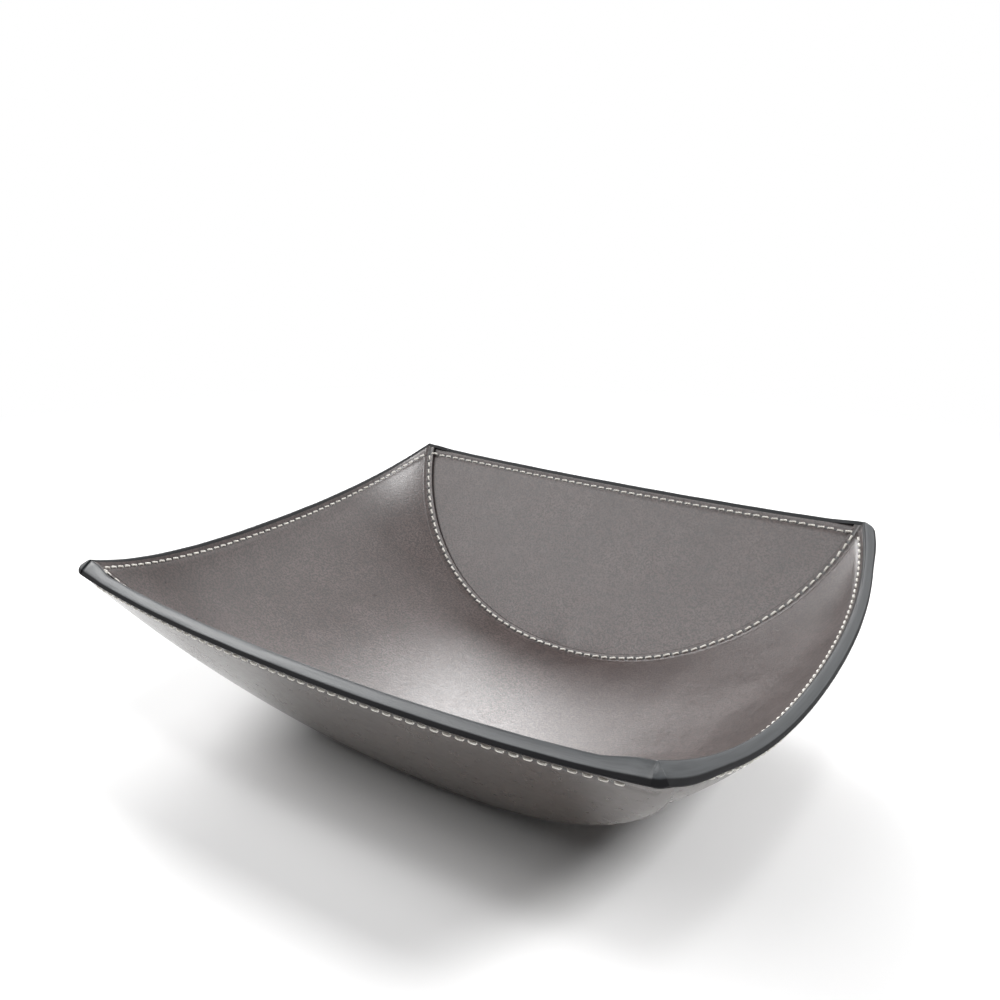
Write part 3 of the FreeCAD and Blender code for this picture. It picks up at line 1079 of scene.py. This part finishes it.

# %% [markdown]
# ## Leather finish
# The hide is smooth, dyed a dark taupe and waxed to a satin gloss. The covers outside are the same hide
# painted darker, as painted shade of the outside that faces the floor. The grain is so fine that it
# shows mostly as dark specks, with a softer mottle over it. A strong bump would scatter the long
# highlights of the wax, so the specks are in the colour and the bump stays weak. The `row` attribute
# paints shade into the needle holes, darkens the dyed edges, paints shade beside the laps, and it
# dimples the leather between the stitches.

# %% Leather
hide_dark = (0.060, 0.041, 0.038, 1)
hide_light = (0.096, 0.072, 0.068, 1)
# Painted shade: the covers are the lining's hide painted darker, for the outside that faces the floor.
cover_shaded_dark = (0.026, 0.015, 0.010, 1)
cover_shaded_light = (0.044, 0.028, 0.021, 1)
# Dark dye of the cut edges, also the colour of the painted shade beside the laps.
dye_and_shade_colour = (0.014, 0.013, 0.013, 1)
# Painted shade of the needle holes: near black between the stitches.
hole_shade_colour = (0.006, 0.005, 0.005, 1)
grain_scale = 1300
pore_scale = 420
mottle_scale = 60
mottle_span = (0.3, 0.7)
pore_span = (0.35, 0.7)
speck_span = (0.38, 0.62)
hole_along = (0.34, 0.42)
hole_across = (0.20, 0.12)
press_reach = (0.30, 0.05)
press_tint = 0.08
pore_tint = 0.35
speck_tint = 1.25
pore_wear = 0.16
mottle_wear = 0.10
dye_and_shade_wear = 0.4
hide_gloss = 0.45
dye_and_shade_dulling = 0.3
wax_roughness = 0.2
grain_height = 0.00010
pore_height = 0.00025
dimple_height = 0.00015
dimple_span = (0.5, 0.1)
pore_relief = 0.2
dimple_relief = 0.4


def leather_material(name, dark, light, rough, relief, wax):
    """Mottle mixes the two colours, and pores and grain darken them. The needle holes get painted
    shade, the cut edges are dyed, and shade is painted beside the laps. Pores and mottle vary the
    roughness.
    The height is grain, pores and dimples along the row."""
    material, wire, shader, place = new_finish(name)
    mottle = wire.noise(place, mottle_scale, detail=4.0, rough=0.6)
    pores = wire.noise(place, pore_scale, detail=3.0, rough=0.6)
    grain = wire.noise(place, grain_scale, detail=2.0, rough=0.7)
    phase, distance, dye_and_shade = wire.split(wire.row())
    away = wire.math("ABSOLUTE", distance)
    from_stitch = wire.math("ABSOLUTE", wire.math("SUBTRACT", phase, wire.math("ROUND", phase)))
    hole_shade = wire.math("MULTIPLY", wire.span(from_stitch, *hole_along), wire.span(away, *hole_across))
    pressed = wire.span(away, *press_reach)

    colour = wire.mix(wire.span(mottle, *mottle_span), dark, light)
    colour = wire.mix(wire.span(pores, *pore_span, 0.0, pore_tint), colour, dark)
    colour = wire.mix(wire.span(grain, *speck_span, 0.0, speck_tint * relief), colour, dye_and_shade_colour)
    colour = wire.mix(wire.math("MULTIPLY", pressed, press_tint), colour, dye_and_shade_colour)
    # Painted shade in the needle holes.
    colour = wire.mix(hole_shade, colour, hole_shade_colour)
    # The dye channel darkens the cut edges and paints shade beside the laps.
    wire.put(shader, "Base Color", wire.mix(dye_and_shade, colour, dye_and_shade_colour))

    worn = wire.math("MULTIPLY_ADD", pores, pore_wear, rough - pore_wear / 2)
    worn = wire.math("MULTIPLY_ADD", mottle, mottle_wear, worn)
    wire.put(shader, "Roughness", wire.math("MULTIPLY_ADD", dye_and_shade, dye_and_shade_wear, worn))
    wire.put(shader, "Specular IOR Level", wire.math("MULTIPLY_ADD", dye_and_shade, -dye_and_shade_dulling, hide_gloss))
    wire.put(shader, "Coat Weight", wax)
    wire.put(shader, "Coat Roughness", wax_roughness)

    dimple = wire.math("MULTIPLY", pressed, wire.span(from_stitch, *dimple_span))
    grain_bump = wire.bump(grain, relief, grain_height)
    pore_bump = wire.bump(pores, pore_relief * relief, pore_height)
    dimple_bump = wire.bump(dimple, dimple_relief, dimple_height)
    wire.put(pore_bump, "Normal", grain_bump.outputs["Normal"])
    wire.put(dimple_bump, "Normal", pore_bump.outputs["Normal"])
    wire.put(shader, "Normal", dimple_bump.outputs["Normal"])
    return material


lining_leather = leather_material(
    "lining_hide", hide_dark, hide_light, rough=0.27, relief=0.6, wax=0.05)
# The covers get the darker copy of the hide as painted shade.
shaded_cover_leather = leather_material(
    "cover_hide", cover_shaded_dark, cover_shaded_light, rough=0.20, relief=0.05, wax=0.3)
for piece in linings.values():
    piece.data.materials.append(lining_leather)
for piece in covers.values():
    piece.data.materials.append(shaded_cover_leather)
print("leather nodes", len(lining_leather.node_tree.nodes))

# %% [markdown]
# ## Finish of the coat
# The coat is a dark satin, brushed along the rim, so fine streaks follow its length. Its inner edge
# and its outer bevel are painted black as shade, and made matt. Noise on the `row` attribute, stretched
# along the band, gives streaks that turn with every curve of the rim.

# %% Coat
satin_dark = (0.020, 0.023, 0.026, 1)
satin_light = (0.034, 0.038, 0.042, 1)
# Painted shade: black on the coat's outer bevel and inner edge.
coat_edge_shade_black = (0.008, 0.008, 0.009, 1)
coat_streaks = (16, 9, 0)
patch_scale = 120
patch_waver = 0.06
bevel_shade = (bevel_start + 0.07, bevel_start + 0.17)
inner_edge_shade = (0.12, 0.05, 0.0, 0.8)
streak_span = (0.35, 0.65)
satin_roughness = 0.21
streak_wear = 0.30
coat_edge_shade_roughness = 0.2
streak_height = 0.0002
streak_relief = 0.12
coat_gloss = 0.6
coat_edge_shade_dulling = 0.5


def coat_material():
    """Streaks mix two satin colours and vary the roughness. Spans of the share across the band, with
    a wavering edge, paint shade black on its inner edge and its outer bevel."""
    material, wire, shader, place = new_finish("edge_coating")
    patch = wire.noise(place, patch_scale, detail=3.0, rough=0.6)
    row = wire.row()
    stretched = wire.add("VectorMath", {0: row, 1: coat_streaks}, operation="MULTIPLY")
    streak = wire.noise(stretched.outputs["Vector"], scale=1.0, detail=3.0, rough=0.6)
    across = wire.math("MULTIPLY_ADD", patch, patch_waver, wire.split(row)["Y"])
    # Painted shade on the outer bevel and the inner edge of the coat.
    coat_edge_shade = wire.math("MAXIMUM", wire.span(across, *bevel_shade), wire.span(across, *inner_edge_shade))
    satin = wire.mix(wire.span(streak, *streak_span), satin_dark, satin_light)
    wire.put(shader, "Base Color", wire.mix(coat_edge_shade, satin, coat_edge_shade_black))
    rough = wire.math("MULTIPLY_ADD", streak, streak_wear, satin_roughness)
    wire.put(shader, "Roughness", wire.math("MULTIPLY_ADD", coat_edge_shade, coat_edge_shade_roughness, rough))
    gloss = wire.math("MULTIPLY_ADD", coat_edge_shade, -coat_edge_shade_dulling, coat_gloss)
    wire.put(shader, "Specular IOR Level", gloss)
    wire.put(shader, "Normal", wire.bump(streak, streak_relief, streak_height).outputs["Normal"])
    return material


coating = coat_material()
for piece in coats.values():
    piece.data.materials.append(coating)
print("coat nodes", len(coating.node_tree.nodes))

# %% [markdown]
# ## Finish of the thread and the board
# The thread is cream, waxed and slightly soiled, with a fine fibre in its bump. The board inside is
# brown pressed fibre. It only shows where the tray is taken apart, so one noise is enough for it.

# %% Thread and board
thread_clean = (0.76, 0.74, 0.69, 1)
thread_soiled = (0.58, 0.55, 0.50, 1)
board_dark = (0.20, 0.13, 0.08, 1)
board_light = (0.33, 0.23, 0.15, 1)
soil_scale = 260
soil_span = (0.35, 0.75)
thread_fibre_scale = 4200
thread_fibre_height = 0.0001
thread_relief = 0.35
board_fibre_scale = 700
board_fibre_height = 0.0002
board_relief = 0.4


def thread_material():
    """Soft noise mixes clean and soiled thread, and a fine noise is the height of its fibre."""
    material, wire, shader, place = new_finish("cream_thread")
    soil = wire.noise(place, soil_scale, detail=3.0, rough=0.6)
    fibre = wire.noise(place, thread_fibre_scale, detail=2.0, rough=0.6)
    wire.put(shader, "Base Color", wire.mix(wire.span(soil, *soil_span), thread_clean, thread_soiled))
    wire.put(shader, "Roughness", 0.62)
    wire.put(shader, "Sheen Weight", 0.25)
    wire.put(shader, "Normal", wire.bump(fibre, thread_relief, thread_fibre_height).outputs["Normal"])
    return material


def board_material():
    """One noise is both the mix of two browns and the height of the pressed fibre."""
    material, wire, shader, place = new_finish("fibre_board")
    fibre = wire.noise(place, board_fibre_scale, detail=5.0, rough=0.7)
    wire.put(shader, "Base Color", wire.mix(fibre, board_dark, board_light))
    wire.put(shader, "Roughness", 0.85)
    wire.put(shader, "Normal", wire.bump(fibre, board_relief, board_fibre_height).outputs["Normal"])
    return material


thread = thread_material()
board = board_material()
for piece in threads:
    piece.data.materials.append(thread)
hidden = {"main_stiffener": board, "front_stiffener": board, "rear_stiffener": board,
          "front_seam_under_stitches": thread, "rear_seam_under_stitches": thread}
for node, finish in hidden.items():
    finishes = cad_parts[node].data.materials
    finishes.clear()
    finishes.append(finish)
print("solids that keep their shape", list(hidden))

# %% [markdown]
# ## Floor
# The tray stands on a pale floor. The floor fades to plain white away from the tray, for the camera
# and for reflections, so that no horizon shows, and it keeps the tray's shadow near it. A white floor
# under strong lamps would do the same, but the leather would then look too pale.

# %% Pale floor
floor_reach = 6.0
fade_start = 0.20
fade_end = 0.60
floor_colour = (0.92, 0.92, 0.92, 1)


def background_rays(wire):
    """1 for rays that show the background: from the camera, in gloss and through glass."""
    path = wire.add("LightPath", {}).outputs
    shown = wire.math("MAXIMUM", path["Is Camera Ray"], path["Is Glossy Ray"])
    return wire.math("MAXIMUM", shown, path["Is Transmission Ray"])


def pale_floor():
    """Square of diffuse floor that turns to white emission with the distance from the tray."""
    corners = floor_reach / 2 * np.array([[-1, -1, 0], [1, -1, 0], [1, 1, 0], [-1, 1, 0]])
    mesh = bpy.data.meshes.new("pale_floor")
    mesh.from_pydata(corners.tolist(), [], [(0, 1, 2, 3)])
    floor = bpy.data.objects.new("pale_floor", mesh)
    bpy.context.scene.collection.objects.link(floor)
    floor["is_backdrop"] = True
    material, wire, shader, place = new_finish("pale_floor")
    wire.put(shader, "Base Color", floor_colour)
    wire.put(shader, "Roughness", 0.9)
    wire.put(shader, "Specular IOR Level", 0.1)
    distance = wire.add("VectorMath", {0: place}, operation="LENGTH").outputs["Value"]
    far = wire.span(distance, fade_start, fade_end)
    white = wire.add("Emission", {}).outputs["Emission"]
    shown = wire.math("MULTIPLY", far, background_rays(wire))
    blend = wire.add("MixShader", {0: shown, 1: shader.outputs["BSDF"], 2: white})
    wire.put(material.node_tree.nodes["Material Output"], "Surface", blend.outputs["Shader"])
    mesh.materials.append(material)


pale_floor()
print("floor fades to white from", fade_start, "to", fade_end, "m")

# %% [markdown]
# ## Light
# Satin leather shows its shape by what it mirrors. So each soft lamp stands where one part of the tray
# mirrors it to the camera: the walls, the floor, the rear end, the front coat and the coat's corner.
# A weak, even world fills the shadows. It is white only for rays that show the background.

# %% World and lamps
world_strength = 0.09
lamp_target = Vector((0, 0, 0.03))
lamp_distance = 1.4


def white_world(strength):
    """Even light of the given strength, and plain white for rays that show the background."""
    world = bpy.data.worlds.new("bright_room")
    bpy.context.scene.world = world
    world.use_nodes = True
    wire = Wiring(world.node_tree)
    background = world.node_tree.nodes["Background"]
    wire.put(background, "Color", (1, 1, 1, 1))
    shown = background_rays(wire)
    wire.put(background, "Strength", wire.math("MULTIPLY_ADD", shown, 1 - strength, strength))


def soft_lamp(name, turn, rise, width, height, power):
    """Area lamp that looks at the tray, from a turn and a rise in degrees at the lamps' distance."""
    turn, rise = math.radians(turn), math.radians(rise)
    flat = lamp_distance * math.cos(rise)
    place = Vector((flat * math.cos(turn), flat * math.sin(turn), lamp_distance * math.sin(rise)))
    lamp = bpy.data.lights.new(name, "AREA")
    lamp.shape = "RECTANGLE"
    lamp.size = width
    lamp.size_y = height
    lamp.energy = power
    holder = bpy.data.objects.new(name, lamp)
    holder.location = place + lamp_target
    holder.rotation_euler = (-place).to_track_quat("-Z", "Y").to_euler()
    bpy.context.scene.collection.objects.link(holder)


white_world(world_strength)
soft_lamp("rear_left_lamp", turn=130, rise=28, width=0.8, height=0.6, power=18)
soft_lamp("rear_lamp", turn=72, rise=43, width=1.0, height=0.5, power=3.5)
soft_lamp("left_lamp", turn=202, rise=44, width=0.5, height=0.6, power=9)
soft_lamp("front_left_lamp", turn=242, rise=49, width=0.6, height=0.5, power=4.5)
soft_lamp("right_lamp", turn=17, rise=48, width=0.34, height=0.34, power=14)
soft_lamp("high_front_lamp", turn=296, rise=69, width=0.24, height=0.24, power=3)
print("lamps give", sum(lamp.energy for lamp in bpy.data.lights if lamp.type == "AREA"), "W")

# %% [markdown]
# ## Camera
# The camera stands where the photograph was taken from. Its place, turn and lens were fitted to the
# rims and the stitched rows, because a camera that is turned by hand never quite meets all of them.
# The lens shift is the offset of the picture's centre, and there is no depth of field.

# %% Camera
camera_place = Vector((0.1535, -0.2510, 0.1727))
camera_turn = math.radians(35.774)
camera_rise = math.radians(18.332)
camera_roll = math.radians(0.073)
camera = bpy.data.cameras.new("photo_camera")
camera.sensor_width = 36.0
camera.lens = 33.748
camera.shift_x = 0.0676
camera.shift_y = 0.0083
camera.clip_start = 0.01
holder = bpy.data.objects.new("photo_camera", camera)
back = Vector((math.sin(camera_turn) * math.cos(camera_rise),
               -math.cos(camera_turn) * math.cos(camera_rise), math.sin(camera_rise)))
level = (-back).to_track_quat("-Z", "Y").to_matrix()
rolled = level @ Matrix.Rotation(camera_roll, 3, "Z")
holder.matrix_world = Matrix.Translation(camera_place) @ rolled.to_4x4()
bpy.context.scene.collection.objects.link(holder)
bpy.context.scene.camera = holder
bpy.context.scene.view_settings.view_transform = "Standard"
print("camera is", round(camera_place.length, 3), "m from the tray's foot")

# %% [markdown]
# ## Sizes before and after
# The dressed tray passes the box of its solids only by the higher crown of its coats, so the growth
# of the box is printed. The dressed tray may pass the box of its solids only by the higher crown of
# its coats.

# %% Compare the boxes and finish
new_low, new_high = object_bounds()
growth = [(h - l) - (b - a) for l, h, a, b in zip(new_low, new_high, cad_low, cad_high)]
print("box grew by", [round(value, 5) for value in growth])
